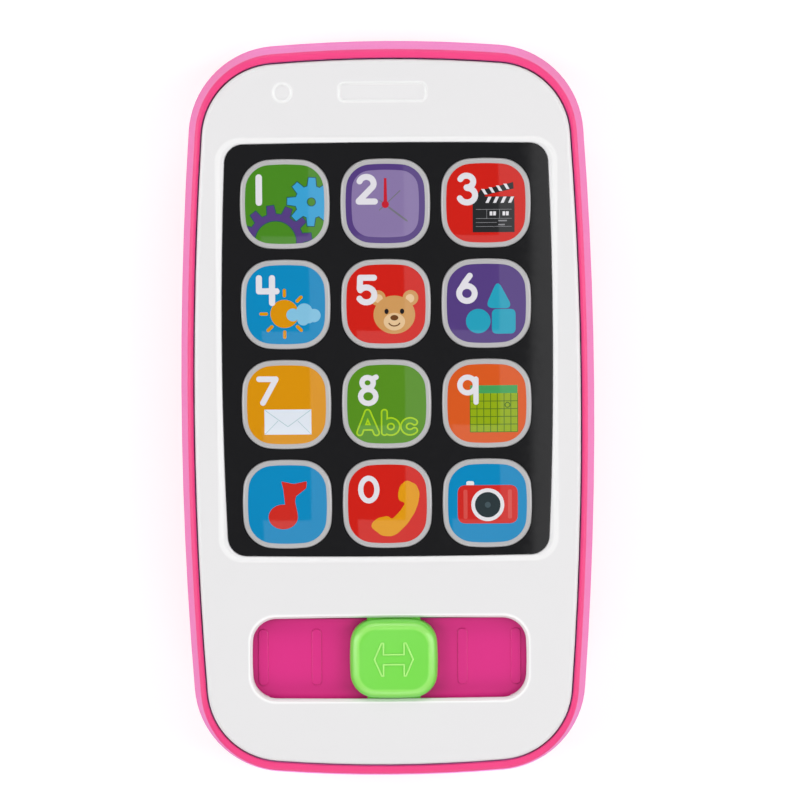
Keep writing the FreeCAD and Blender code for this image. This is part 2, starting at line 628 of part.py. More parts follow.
def speaker_screws():
    """Two washer-head screws whose heads hold the speaker's edge."""
    solids = []
    for place in SPEAKER_SCREWS:
        head = rounded_at(cylinder(place, 4.12, 5.6, 3.5), 5.6, 0.5)
        shaft = cylinder(place, 2.7, 4.2, 0.9)
        solids.append(head.fuse(shaft).cut(cross_recess(place, 4.9, 0.8)).removeSplitter())
    return solids


# ================================================================ power switch
def switch_rest():
    return (SWITCH[0], SWITCH[1] - SWITCH_TRAVEL / 2)


def power_switch_knob():
    """Knob in the back's slot: ribbed button, flange inside the case, and a fork for the lever."""
    x, y = switch_rest()
    button = rounded_box(around(x, SWITCH_KNOB[0]), around(y, SWITCH_KNOB[1]), (0.25, FLOOR + 0.3), 0.7)
    flange = rounded_box(around(x, 8.4), around(y, 9.0), (FLOOR + 0.15, FLOOR + 1.3), 1.0)
    fork = [box(around(x, 3.0), around(y + side * 1.75, 1.0), (FLOOR + 1.2, 6.4)) for side in (-1, 1)]
    grooves = [box(around(x, 6), around(y + step * 1.2, 0.5), (0, 0.6)) for step in (-1, 0, 1)]
    return joined([button, flange] + fork).cut(grooves)


def power_switch_lever():
    x, y = switch_rest()
    return box(around(x, 1.9), around(y, 2.0), (4.4, 8.4))


def power_switch_body():
    can = rounded_box(around(SWITCH[0], 6.0), around(SWITCH[1], 15.0), (7.0, 11.0), 0.5)
    slot = box(around(SWITCH[0], 2.4), around(SWITCH[1], SWITCH_TRAVEL + 2.6), (6, 9.2))
    return can.cut(slot)


def switch_board():
    plate = rounded_box(around(SWITCH[0], 9.0), around(SWITCH[1], 30.4), (11.0, 12.2), 1.0)
    return plate.cut([cylinder(p, 10, 13, 1.1) for p in SWITCH_POSTS])


def switch_board_screws():
    solids = []
    for place in SWITCH_POSTS:
        head = rounded_at(cylinder(place, 12.2, 13.3, 1.9), 13.3, 0.4)
        shaft = cylinder(place, 4.5, 12.3, 0.9)
        solids.append(head.fuse(shaft).cut(cross_recess(place, 12.8, 0.6, 1.0, 0.5)).removeSplitter())
    return solids


# ================================================================ leads inside the case
LEAD_RADIUS = 0.45


def leads():
    """Insulated leads by name: speaker pair, battery pair, and three from the power switch."""
    tab = BAY_TOP + BAY_WALL + 0.9
    under = BOARD_UNDER
    x, y = SWITCH
    routes = {
        "speaker_lead_red": [[(-2.5, 27.0, 8.4), (-2.5, 27.0, 10.4), (-3.6, 21.0, 12.6), (-6.0, 15.6, 14.2),
                              (-7.8, 12.0, 15.2), (-7.8, 12.0, under)]],
        "speaker_lead_black": [[(2.5, 27.0, 8.4), (2.5, 27.0, 10.4), (2.0, 21.2, 12.4), (0.4, 15.8, 14.4),
                                (-1.8, 12.2, 15.2), (-1.8, 12.2, under)]],
        "battery_lead_red": [[(-CELL_X, BAY_Y[1], tab - 0.3), (-CELL_X, 5.0, tab - 0.3), (-9.5, 8.4, tab - 0.7),
                              (-15.0, 9.4, tab - 0.5), (-15.0, 9.4, under)]],
        "battery_lead_black": [[(CELL_X, BAY_Y[1], tab - 0.3), (CELL_X, 5.0, tab - 0.3), (9.0, 8.0, tab - 0.7),
                                (14.4, 9.2, tab - 0.5), (14.4, 9.2, under)]],
        "switch_leads": [[(x + side * 2.2, y - 4.0, 12.2), (x + side * 2.2, y - 4.0, 14.0),
                          (x + side * 2.8, y - 6.4, 15.4), (x + side * 2.8, y - 6.4, under)]
                         for side in (-1, 0, 1)],
    }
    for name, paths in routes.items():
        yield name, [wire_tube(name, points, LEAD_RADIUS) for points in paths]


# ================================================================ every piece, by node name
def pieces():
    yield "front_housing", front_housing()
    yield "rear_housing", rear_housing()
    yield "housing_screws", housing_screws()
    yield "screen_overlay", screen_overlay()
    for name, place in button_places():
        yield f"button_{name}", button_cap(place)
        yield f"rubber_key_{name}", rubber_key(place)
    yield "rubber_keypad", rubber_keypad()
    yield "circuit_board", circuit_board()
    yield "board_screws", board_screws()
    yield "sound_chip", sound_chip()
    yield "board_components", board_components()
    yield "slider_track", slider_track()
    yield "slider_track_screws", slider_track_screws()
    yield "slider_knob", slider_knob()
    yield "slider_contact", slider_contact()
    yield "battery_left", battery(-CELL_X, True)
    yield "battery_right", battery(CELL_X, False)
    yield "battery_springs", battery_springs()
    plus_plate, minus_plate, bridge = contact_plates()
    yield "battery_plus_plate", plus_plate
    yield "battery_minus_plate", minus_plate
    yield "battery_bridge", bridge
    yield "battery_door", battery_door()
    yield "battery_door_screw", battery_door_screw()
    yield "speaker_gasket", speaker_gasket()
    yield "speaker_frame", speaker_frame()
    yield "speaker_cone", speaker_cone()
    yield "speaker_magnet", speaker_magnet()
    yield "speaker_screws", speaker_screws()
    yield "power_switch_knob", power_switch_knob()
    yield "power_switch_lever", power_switch_lever()
    yield "power_switch_body", power_switch_body()
    yield "switch_board", switch_board()
    yield "switch_board_screws", switch_board_screws()
    yield from leads()


def main():
    os.makedirs("parts", exist_ok=True)
    for name, made in pieces():
        shape = Part.makeCompound(made) if isinstance(made, list) else made
        faults = [] if shape.isValid() else ["NOT VALID"]
        print(f"{name}: {len(shape.Solids)} solid(s), {shape.Volume:.1f} mm3", *faults)
        shape.exportStep(f"parts/{name}.step")


main()
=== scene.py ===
import math

import bpy
from mathutils import Matrix, Vector
from mathutils.geometry import delaunay_2d_cdt


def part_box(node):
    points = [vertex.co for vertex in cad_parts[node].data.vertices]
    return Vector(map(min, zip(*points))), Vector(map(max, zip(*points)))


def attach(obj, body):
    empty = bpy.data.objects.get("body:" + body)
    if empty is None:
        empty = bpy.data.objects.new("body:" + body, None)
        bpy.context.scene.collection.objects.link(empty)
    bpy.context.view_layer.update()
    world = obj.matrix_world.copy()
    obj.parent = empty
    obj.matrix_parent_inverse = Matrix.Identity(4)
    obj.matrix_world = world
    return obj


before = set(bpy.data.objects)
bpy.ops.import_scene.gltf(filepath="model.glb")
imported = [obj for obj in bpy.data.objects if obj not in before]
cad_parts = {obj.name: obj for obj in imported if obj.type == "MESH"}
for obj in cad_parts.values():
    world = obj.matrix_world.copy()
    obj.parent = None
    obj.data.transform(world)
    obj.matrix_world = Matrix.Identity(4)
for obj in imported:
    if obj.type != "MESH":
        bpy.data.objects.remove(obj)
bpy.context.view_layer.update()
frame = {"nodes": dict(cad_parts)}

bl_info = {
    "name": "Toy Mobile Phone",
    "version": (1, 0, 0),
    "blender": (4, 5, 0),
    "location": "View3D > Sidebar > Toy Phone",
    "description": "Printed buttons, moulded plastics and a soft studio for a toy mobile phone",
    "category": "Add Mesh",
}

MM = 0.001


def linear(hexadecimal):
    """The linear red, green and blue of an sRGB hex value."""
    channels = [int(hexadecimal[i:i + 2], 16) / 255 for i in (0, 2, 4)]
    return tuple(c / 12.92 if c <= 0.04045 else ((c + 0.055) / 1.055) ** 2.4 for c in channels)


# ================================================================ what a user may change
class ToyPhoneSizes(bpy.types.PropertyGroup):
    dome_radius: bpy.props.FloatProperty(
        name="Dome radius", description="Radius of the domed top of a button",
        default=48.0 * MM, unit="LENGTH", precision=4)
    print_lift: bpy.props.FloatProperty(
        name="Print lift", description="Height of the printed skin over the moulded cap",
        default=0.02 * MM, unit="LENGTH", precision=5)
    print_thickness: bpy.props.FloatProperty(
        name="Print thickness", description="Thickness of the printed skin",
        default=0.05 * MM, unit="LENGTH", precision=5)
    print_border: bpy.props.FloatProperty(
        name="Ring width", description="Width of the bare ring of the cap round its print",
        default=0.98 * MM, unit="LENGTH", precision=4)
    camera_distance: bpy.props.FloatProperty(
        name="Camera distance", description="From the camera to the face of the phone",
        default=0.73, unit="LENGTH")
    camera_tilt: bpy.props.FloatProperty(
        name="Camera tilt", description="How far the camera leans towards the earpiece end",
        default=math.radians(4.4), unit="ROTATION")
    camera_roll: bpy.props.FloatProperty(
        name="Camera roll", description="Turn of the camera about its own line of sight",
        default=math.radians(-0.4), unit="ROTATION")


def colour_property(name, hexadecimal, description):
    """A colour that a user may change."""
    return bpy.props.FloatVectorProperty(
        name=name, description=description, default=linear(hexadecimal), subtype="COLOR", size=3,
        min=0, max=1)


class ToyPhoneColours(bpy.types.PropertyGroup):
    pink: colour_property("Pink", "E83E7E", "Back half of the case and battery door")
    track: colour_property("Track pink", "D3247F", "Slot in which the slider runs")
    white: colour_property("White", "DBDADB", "Front half of the case")
    film: colour_property("Film", "161618", "Black film round the buttons")
    ring: colour_property("Ring", "ADACAD", "Bare plastic of the button caps")
    knob: colour_property("Knob", "74D44A", "Sliding knob")
    digit: colour_property("Digit", "D4D2D8", "Printed numbers")
    leaf: colour_property("Leaf green", "427F1B", "Field of button 1")
    grass: colour_property("Grass green", "4F8419", "Field of button 8")
    sky: colour_property("Sky blue", "007FB2", "Fields of buttons 4, music and camera")
    red: colour_property("Red", "C21A10", "Fields of buttons 3, 5 and 0")
    violet: colour_property("Violet", "4E3877", "Field of button 6, gear and clock frame")
    lilac: colour_property("Lilac", "806F9C", "Clock face")
    amber: colour_property("Amber", "CB8800", "Field of button 7, sun and handset")
    vermilion: colour_property("Vermilion", "CB531B", "Field of button 9")


# ================================================================ materials
# size of the slow drift of colour over a moulding, and the grain's share of the ripple's depth
DRIFT_MM, GRAIN_SHARE = 14.0, 0.06


def add(tree, kind, inputs=None, **settings):
    """Adds a node of that kind with its settings; an input is a value or another node's output."""
    node = tree.nodes.new(kind)
    for name, value in settings.items():
        setattr(node, name, value)
    for socket, value in (inputs or {}).items():
        if isinstance(value, bpy.types.NodeSocket):
            tree.links.new(value, node.inputs[socket])
        else:
            node.inputs[socket].default_value = value
    return node


def new_material(name, constants):
    """A material whose shader has those constant inputs; returns it with its tree and shader."""
    material = bpy.data.materials.new(name)
    material.use_nodes = True
    tree = material.node_tree
    shader = tree.nodes["Principled BSDF"]
    for socket, value in constants.items():
        shader.inputs[socket].default_value = value
    material.diffuse_color = constants["Base Color"]
    return material, tree, shader


def found(tree, kind):
    """The tree's first node of that kind."""
    return next(node for node in tree.nodes if node.bl_idname == kind)


def lighten(tree, factor, hexadecimal):
    """Moves the shader's base colour towards that colour where the factor is above 0."""
    base = tree.nodes["Principled BSDF"].inputs["Base Color"]
    light = add(tree, "ShaderNodeMix", {"Factor": factor, "A": base.links[0].from_socket,
                                        "B": (*linear(hexadecimal), 1)}, data_type="RGBA")
    tree.links.new(light.outputs["Result"], base)


def surface(name, colour, roughness, grain_mm, ripple_mm, depth_mm, tone=0.03, spread=0.04, **constants):
    """Colour that drifts by tone, roughness that drifts by spread, and a rippled skin of that depth."""
    values = {"Base Color": (*colour, 1), "Roughness": roughness}
    values.update({socket.replace("_", " "): value for socket, value in constants.items()})
    material, tree, shader = new_material(name, values)
    place = add(tree, "ShaderNodeTexCoord").outputs["Object"]
    drift = add(tree, "ShaderNodeTexNoise", {"Vector": place, "Scale": 1 / (DRIFT_MM * MM), "Detail": 3.0})
    darker = tuple(c * (1 - 2 * tone) for c in colour)
    mixed = add(tree, "ShaderNodeMix", {"Factor": drift.outputs["Fac"], "A": (*colour, 1), "B": (*darker, 1)},
                data_type="RGBA")
    tree.links.new(mixed.outputs["Result"], shader.inputs["Base Color"])
    grain = add(tree, "ShaderNodeTexNoise", {"Vector": place, "Scale": 1 / (grain_mm * MM), "Detail": 2.0})
    rough = add(tree, "ShaderNodeMapRange", {"Value": grain.outputs["Fac"], "From Min": 0.3, "From Max": 0.7,
                                             "To Min": roughness - spread, "To Max": roughness + spread})
    tree.links.new(rough.outputs["Result"], shader.inputs["Roughness"])
    ripple = add(tree, "ShaderNodeTexNoise", {"Vector": place, "Scale": 1 / (ripple_mm * MM), "Detail": 1.0})
    fine = add(tree, "ShaderNodeMath", {0: grain.outputs["Fac"], 1: GRAIN_SHARE}, operation="MULTIPLY")
    height = add(tree, "ShaderNodeMath", {0: ripple.outputs["Fac"], 1: fine.outputs[0]}, operation="ADD")
    bump = add(tree, "ShaderNodeBump", {"Height": height.outputs[0], "Strength": 1.0,
                                        "Distance": depth_mm * MM})
    tree.links.new(bump.outputs["Normal"], shader.inputs["Normal"])
    return material


def colour_of(name):
    """The linear colour that the user's settings hold under that name."""
    return tuple(getattr(bpy.context.scene.toy_phone_colours, name))


INK_HEX = {
    "gear_blue": "3596C5", "outline": "204A53", "board_black": "232426", "board_grey": "828286",
    "stripe": "D6D4D8", "cloud": "7AB4D0", "teal": "2195AF", "paper": "D2D8E1", "fold": "9AB8BE",
    "lime": "9DC31B", "header": "409553", "grid": "88A00E", "grid_line": "486B14", "note": "C0261D",
    "handset": "D28F0A", "shell": "C1241F", "shell_light": "C94A44", "lens": "283337", "gleam": "404F55",
    "hand_red": "B61D2C", "hand_grey": "6B6B71", "tan": "C18F55", "muzzle": "D6B68D", "brown": "663D1D",
    "dark": "1B1719", "letter": "578F28",
}
NAMED_INKS = ("digit", "leaf", "grass", "sky", "red", "violet", "lilac", "amber", "vermilion")


def ink(name):
    """Screen ink under a clear skin: even colour with a faint printed grain, and a wet gloss over it."""
    finished = bpy.data.materials.get("ink_" + name)
    if finished:
        return finished
    colour = colour_of(name) if name in NAMED_INKS else linear(INK_HEX[name])
    return surface("ink_" + name, colour, 0.42, grain_mm=0.35, ripple_mm=5.0, depth_mm=0.003, tone=0.015,
                   spread=0.03, Coat_Weight=1.0, Coat_Roughness=0.05, Coat_IOR=1.5, Specular_IOR_Level=0.0)


# ================================================================ flat shapes, in mm from a button's centre
def disc(x, y, across, up=None, steps=44):
    """The outline of a circle, or of an ellipse where up is given."""
    up = across if up is None else up
    return [(x + across * math.cos(2 * math.pi * i / steps), y + up * math.sin(2 * math.pi * i / steps))
            for i in range(steps)]


def bar(left, low, right, high):
    """The outline of an upright rectangle."""
    return [(left, low), (right, low), (right, high), (left, high)]


def stroke(points, width, steps=10):
    """The outline of a pen line with round ends along a smooth run of points."""
    run = [Vector(point) for point in points]
    neighbours = zip(run[:1] + run[:-1], run[1:] + run[-1:])
    headings = [(after - before).normalized() for before, after in neighbours]
    sides = [Vector((-heading.y, heading.x)) * width / 2 for heading in headings]
    outline = [point + side for point, side in zip(run, sides)]
    for end, side, back in ((run[-1], sides[-1], False), (run[0], -sides[0], True)):
        for i in range(1, steps):
            turned = side.copy()
            turned.rotate(Matrix.Rotation(-math.pi * i / steps, 2))
            outline.append(end + turned)
        if not back:
            outline.extend(point - side for point, side in zip(run[::-1], sides[::-1]))
    return [[tuple(point) for point in outline]]


def arc(x, y, across, up, first, last, steps=18):
    """Points along part of an ellipse, from one angle to another in degrees."""
    angles = [math.radians(first + (last - first) * i / steps) for i in range(steps + 1)]
    return [(x + across * math.cos(a), y + up * math.sin(a)) for a in angles]


def gear(x, y, body, tip, teeth, first, tooth, grow=0.0):
    """The body and the teeth of a gear, each grown by the same margin."""
    shapes = [disc(x, y, body + grow, steps=72)]
    for index in range(teeth):
        angle = math.radians(first + 360 * index / teeth)
        along, side = Vector((math.cos(angle), math.sin(angle))), Vector((-math.sin(angle), math.cos(angle)))
        root, top = tooth * 0.68 + grow, tooth * 0.5 + grow
        corners = [(body * 0.9, -root), (tip + grow, -top), (tip + grow, top), (body * 0.9, root)]
        shapes.append([(x + along.x * r + side.x * s, y + along.y * r + side.y * s) for r, s in corners])
    return shapes


def squircle(half, bow, corner, inset=0.0, steps=10):
    """A square with bowed sides and round corners; inset moves its whole edge inwards."""
    mean = half - bow
    centre = (mean + math.sqrt(2 * (bow - corner) ** 2 - mean ** 2)) / 2
    turn = math.atan2(centre, centre - mean)
    quarter = [(mean, 0, bow, 0, turn), (centre, centre, corner, turn, math.pi / 2 - turn),
               (0, mean, bow, math.pi / 2 - turn, math.pi / 2)]
    points = []
    for quadrant in range(4):
        swing = math.pi / 2 * quadrant
        for x, y, radius, first, last in quarter:
            for i in range(steps):
                angle = first + (last - first) * i / steps
                px, py = x + (radius - inset) * math.cos(angle), y + (radius - inset) * math.sin(angle)
                points.append((px * math.cos(swing) - py * math.sin(swing),
                               px * math.sin(swing) + py * math.cos(swing)))
    return points


def rounded(points, radius, steps=6):
    """A polygon whose corners are rounded by quadratic curves that start that far from each corner."""
    outline = []
    for index, corner in enumerate(points):
        corner = Vector(corner)
        before, after = Vector(points[index - 1]), Vector(points[(index + 1) % len(points)])
        start = corner + (before - corner).normalized() * min(radius, (before - corner).length * 0.49)
        end = corner + (after - corner).normalized() * min(radius, (after - corner).length * 0.49)
        for i in range(steps + 1):
            t = i / steps
            point = start * (1 - t) ** 2 + corner * 2 * t * (1 - t) + end * t ** 2
            outline.append(tuple(point))
    return outline


# ================================================================ the numbers
# pen width, pen lines, then rings as (x, y, half width, half height) of the pen's middle
DIGITS = {
    "1": (1.22, [[(-4.8, 5.0), (-4.8, 0.35)]], []),
    "2": (1.14, [arc(-3.5, 3.75, 1.35, 1.25, 160, -28) + [(-4.95, 0.5)], [(-4.95, 0.4), (-1.95, 0.4)]], []),
    "3": (1.12, [arc(-3.6, 4.0, 1.25, 1.1, 155, -90), arc(-3.5, 1.45, 1.5, 1.35, 90, -155)], []),
    "4": (1.14, [[(-4.95, 5.0), (-4.95, 2.55)], [(-4.95, 2.55), (-1.65, 2.55)],
                 [(-2.5, 5.0), (-2.5, 0.35)]], []),
    "5": (1.12, [[(-2.2, 4.95), (-4.8, 4.95)], [(-4.8, 4.95), (-4.9, 2.9)],
                 arc(-3.65, 1.75, 1.5, 1.4, 140, -150)], []),
    "6": (1.1, [[(-3.1, 5.2), (-4.0, 4.0), (-4.85, 2.6)]], [(-3.64, 1.9, 1.45, 1.4)]),
    "7": (1.06, [[(-5.1, 4.85), (-1.95, 4.85)], [(-1.95, 4.85), (-4.4, 0.4)]], []),
    "8": (1.0, [[(-3.0, 4.6), (-1.95, 5.1)]], [(-3.55, 4.05, 1.05, 0.98), (-3.45, 1.5, 1.42, 1.3)]),
    "9": (1.0, [[(-2.05, 4.6), (-2.05, 0.3)]], [(-3.6, 3.5, 1.45, 1.45)]),
    "0": (0.98, [], [(-3.48, 2.75, 1.52, 2.12)]),
}


def number(digit):
    """The layer of a printed number."""
    pen, lines, rings = DIGITS[digit]
    shapes = [shape for line in lines for shape in stroke(line, pen)]
    shapes += [disc(x, y, across + pen / 2, up + pen / 2, steps=52) for x, y, across, up in rings]
    holes = [disc(x, y, across - pen / 2, up - pen / 2, steps=36) for x, y, across, up in rings]
    return "digit", shapes, holes


# ================================================================ pictures: (ink, shapes, cut-outs), lowest first
def gears_picture():
    """Two meshing gears, each over a slightly larger dark one that shows as its outline."""
    layers = []
    blue, violet = (5.0, 0.4, 3.0, 4.5, 8, -2, 1.25), (-1.75, -7.0, 5.15, 6.75, 12, 8, 1.25)
    for colour, wheel, hole in (("violet", violet, 3.95), ("gear_blue", blue, 0.85)):
        layers.append(("outline", gear(*wheel, grow=0.15), [disc(wheel[0], wheel[1], hole - 0.15, steps=60)]))
        layers.append((colour, gear(*wheel), [disc(wheel[0], wheel[1], hole, steps=60)]))
    return layers


def clock_picture():
    face = squircle(6.3, 34, 3.4)
    return [
        ("lilac", [face], []),
        ("hand_grey", stroke([(-1.1, -1.2), (2.75, 2.4)], 0.2) + stroke([(-1.1, 0.7), (4.1, -3.3)], 0.2), []),
        ("hand_grey", stroke([(0.8, -0.8), (3.9, -3.15)], 0.34), []),
        ("hand_red", [[(-0.32, 0.0), (-0.22, 4.75), (0.26, 4.75), (0.36, 0.0)], disc(0.0, -0.15, 0.68)], []),
    ]


def slanted_stripes(left, right, low, high, slant, rise, count):
    """White stripes across a bar that climbs by rise from its left end to its right end."""
    shapes = []
    pitch = (right - left) / count
    for index in range(count):
        x = left + pitch * (index + 0.25)
        climb = rise * (x - left) / (right - left)
        shapes.append([(x, low + climb), (x + pitch * 0.42, low + climb),
                       (x + pitch * 0.42 + slant, high + climb), (x + slant, high + climb)])
    return shapes


def film_board_picture():
    lines = [bar(-1.9, -1.25, 4.8, -1.17), bar(-1.9, -2.95, 4.8, -2.87), bar(-1.9, -3.7, 2.0, -3.62),
             bar(-1.9, -4.45, 4.8, -4.37), bar(0.1, -2.9, 0.18, -1.2), bar(2.5, -2.9, 2.58, -1.2)]
    numbers = [bar(x, -2.35, x + 0.5, -1.6) for x in (0.7, 1.35, 3.1, 3.75)]
    small = [bar(2.3, -3.45, 3.9, -3.2), bar(2.3, -4.2, 3.5, -3.95)]
    return [
        ("board_black", [bar(-2.5, -5.5, 5.35, -0.1)], []),
        ("board_black", [bar(-0.7, -0.2, 5.3, 1.2)], []),
        ("board_black", [[(-2.5, -0.2), (-1.0, 2.55), (-0.1, 1.2), (-0.1, -0.2)]], []),
        ("board_black", [[(-1.2, 2.3), (-0.6, 1.35), (5.2, 2.65), (5.1, 3.85)]], []),
        ("stripe", slanted_stripes(-0.45, 5.2, 0.0, 1.15, 0.55, 0.0, 4), []),
        ("stripe", slanted_stripes(-0.6, 4.9, 1.5, 2.5, -0.6, 1.3, 4), []),
        ("board_grey", lines, []),
        ("stripe", numbers, []),
        ("board_grey", small, []),
    ]


def weather_picture():
    rays = []
    for degrees in (45, 90, 180, 225, 270, 315):
        angle = math.radians(degrees)
        ends = [(-0.2 + r * math.cos(angle), -1.7 + r * math.sin(angle)) for r in (3.4, 4.4)]
        rays.extend(stroke(ends, 0.62))
    cloud = [disc(1.35, -1.9, 1.2), disc(3.5, -1.25, 1.5), disc(5.3, -2.05, 1.25), disc(3.3, -2.75, 1.15),
             disc(4.3, -2.3, 1.2)]
    return [("amber", [disc(-0.2, -1.7, 2.65)] + rays, []), ("cloud", cloud, [])]


def bear_picture():
    """A plain teddy bear's head: round head and ears, light muzzle, three dots and a smile."""
    ears = [disc(-1.5, 1.15, 1.45), disc(4.6, 1.15, 1.45)]
    inner = [disc(-1.4, 1.05, 0.8), disc(4.5, 1.05, 0.8)]
    smile = stroke(arc(1.55, -3.35, 1.05, 0.75, 200, 340), 0.24)
    return [
        ("tan", ears, []),
        ("muzzle", inner, []),
        ("tan", [disc(1.55, -2.0, 3.9, 3.6, steps=60)], []),
        ("muzzle", [disc(1.55, -3.3, 2.0, 1.65)], []),
        ("dark", [disc(0.1, -1.35, 0.4, 0.5), disc(3.0, -1.35, 0.4, 0.5)], []),
        ("brown", [disc(1.55, -2.55, 0.75, 0.52)] + smile, []),
    ]


def shapes_picture():
    square = rounded(bar(1.0, -5.7, 5.45, -1.05), 1.0)
    triangle = rounded([(-0.3, -0.85), (2.1, 4.5), (5.0, -0.95)], 1.7, steps=10)
    return [("teal", [disc(-1.55, -3.3, 2.3), square, triangle], [])]


def letter_picture():
    sheet = bar(-4.15, -5.6, 4.65, -0.85)
    folds = (stroke([(-4.05, -0.95), (0.25, -4.1)], 0.13) + stroke([(0.25, -4.1), (4.55, -0.95)], 0.13)
             + stroke([(-4.05, -5.5), (-1.6, -3.0)], 0.11) + stroke([(4.55, -5.5), (2.1, -3.0)], 0.11))
    return [("paper", [sheet], []), ("fold", folds, [])]


def alphabet_picture():
    """Three plain letters, each a fat pen line with a second, thinner line on it."""
    lines = [[(-5.1, -5.35), (-3.6, -1.5)], [(-3.6, -1.5), (-1.95, -5.35)], [(-4.4, -4.3), (-2.6, -4.3)],
             [(-0.45, -1.5), (-0.45, -5.3)], arc(4.35, -4.2, 1.2, 1.1, 45, 315, 20)]
    layers = []
    for colour, width in (("lime", 1.36), ("letter", 0.76)):
        shapes = [shape for line in lines for shape in stroke(line, width)]
        bowl = disc(0.75, -4.2, 1.15 + width / 2, 1.1 + width / 2)
        layers.append((colour, shapes + [bowl], [disc(0.75, -4.2, 1.15 - width / 2, 1.1 - width / 2, 24)]))
    return layers


def calendar_picture():
    left, right, low, high = -3.15, 5.75, -5.35, 1.95
    lines = [bar(left + (right - left) * i / 7 - 0.075, low, left + (right - left) * i / 7 + 0.075, high)
             for i in range(8)]
    lines += [bar(left, low + (high - low) * i / 5 - 0.075, right, low + (high - low) * i / 5 + 0.075)
              for i in range(5)]
    return [
        ("grid", [bar(left, low, right, high)], []),
        ("header", [bar(left, high, right, 3.45)], []),
        ("grid_line", lines, []),
        ("grid_line", [disc(3.85, -0.25, 0.56)], [disc(3.85, -0.25, 0.36)]),
    ]


def note_picture():
    stem = [(-0.35, -0.6), (-0.72, 2.9), (-1.1, 4.4), (1.25, 3.9), (3.7, 4.4), (3.6, 3.1), (1.65, 1.6),
            (1.45, 0.6), (1.98, -2.0), (0.5, -3.0)]
    return [("note", [disc(-0.78, -2.3, 2.75, 2.35, steps=60), rounded(stem, 0.25)], [])]


def handset_picture():
    outline = [(2.0, 1.9), (2.35, 3.4), (3.6, 4.5), (5.4, 3.7), (6.1, 2.1), (5.8, 0.1), (5.1, -1.7),
               (3.8, -3.7), (1.9, -5.6), (0.7, -6.15), (-1.1, -6.0), (-3.1, -4.4), (-2.9, -3.5), (-1.8, -2.6),
               (0.1, -2.2), (0.85, -2.9), (2.4, -1.3), (3.4, 0.2), (2.1, 0.7)]
    return [("handset", [rounded(outline, 0.55)], [])]


def camera_picture():
    body = rounded(bar(-5.6, -3.8, 5.7, 3.45), 1.6)
    lights = [rounded(bar(-4.5, -2.9, -3.75, 2.6), 0.35), rounded(bar(3.85, -2.9, 4.6, 2.6), 0.35)]
    return [
        ("stripe", [rounded(bar(-3.95, 3.2, -2.5, 4.2), 0.4)], []),
        ("shell", [body], []),
        ("shell_light", lights, []),
        ("stripe", [disc(0.05, -0.25, 3.1, steps=64)], []),
        ("lens", [disc(0.05, -0.25, 2.4, steps=56)], []),
        ("gleam", [disc(0.05, -0.25, 0.55)], []),
    ]


# each button: field ink, record slot, picture, number
PICTURES = {
    "1": ("leaf", "button_green", gears_picture, "1"),
    "2": ("violet", "button_purple", clock_picture, "2"),
    "3": ("red", "button_red", film_board_picture, "3"),
    "4": ("sky", "button_blue", weather_picture, "4"),
    "5": ("red", "button_red", bear_picture, "5"),
    "6": ("violet", "button_purple", shapes_picture, "6"),
    "7": ("amber", "button_orange", letter_picture, "7"),
    "8": ("grass", "button_green", alphabet_picture, "8"),
    "9": ("vermilion", "button_vermilion", calendar_picture, "9"),
    "music": ("sky", "button_blue", note_picture, None),
    "0": ("red", "button_red", handset_picture, "0"),
    "camera": ("sky", "button_blue", camera_picture, None),
}
# pitch of the lattice that lets a flat print follow a dome
GRID_STEP = 1.1
# half width of a button's cap, radius of its bowed sides and of its corners
CAP_HALF, CAP_BOW, CAP_CORNER = 8.4, 40.0, 5.6
# corners nearer than this, in millimetres, are one in the triangulation
SAME_CORNER = 1e-5


def anticlockwise(shape):
    """The outline with its inside on the left, as the triangulation needs it."""
    doubled = sum(a[0] * b[1] - b[0] * a[1] for a, b in zip(shape, shape[1:] + shape[:1]))
    return shape if doubled > 0 else shape[::-1]


def partition(layers):
    """Cuts overlapping flat shapes into one skin: its corners, its triangles and each triangle's layer.

    The knife tool needs a window, so the skin is cut by a triangulation that keeps every outline."""
    corners, outlines, owners = [], [], []
    for index, (_, shapes, cuts) in enumerate(layers):
        for sign, group in ((1, shapes), (-1, cuts)):
            for shape in group:
                outlines.append(list(range(len(corners), len(corners) + len(shape))))
                corners.extend(Vector(point) for point in anticlockwise(shape))
                owners.append((index, sign))
    lattice = []
    lines = int(CAP_HALF / GRID_STEP)
    for step in range(-lines, lines + 1):
        for ends in (((step * GRID_STEP, -CAP_HALF), (step * GRID_STEP, CAP_HALF)),
                     ((-CAP_HALF, step * GRID_STEP), (CAP_HALF, step * GRID_STEP))):
            lattice.append((len(corners), len(corners) + 1))
            corners.extend(Vector(end) for end in ends)
    points, _, faces, _, _, inside = delaunay_2d_cdt(corners, lattice, outlines, 0, SAME_CORNER)
    kept, tops = [], []
    for face, holders in zip(faces, inside):
        held = {owners[holder] for holder in holders}
        if (0, 1) not in held:
            continue
        kept.append(face)
        tops.append(max(index for index, sign in held if sign == 1 and (index, -1) not in held))
    used = sorted({corner for face in kept for corner in face})
    renumbered = {old: new for new, old in enumerate(used)}
    return [points[i] for i in used], [[renumbered[i] for i in face] for face in kept], tops


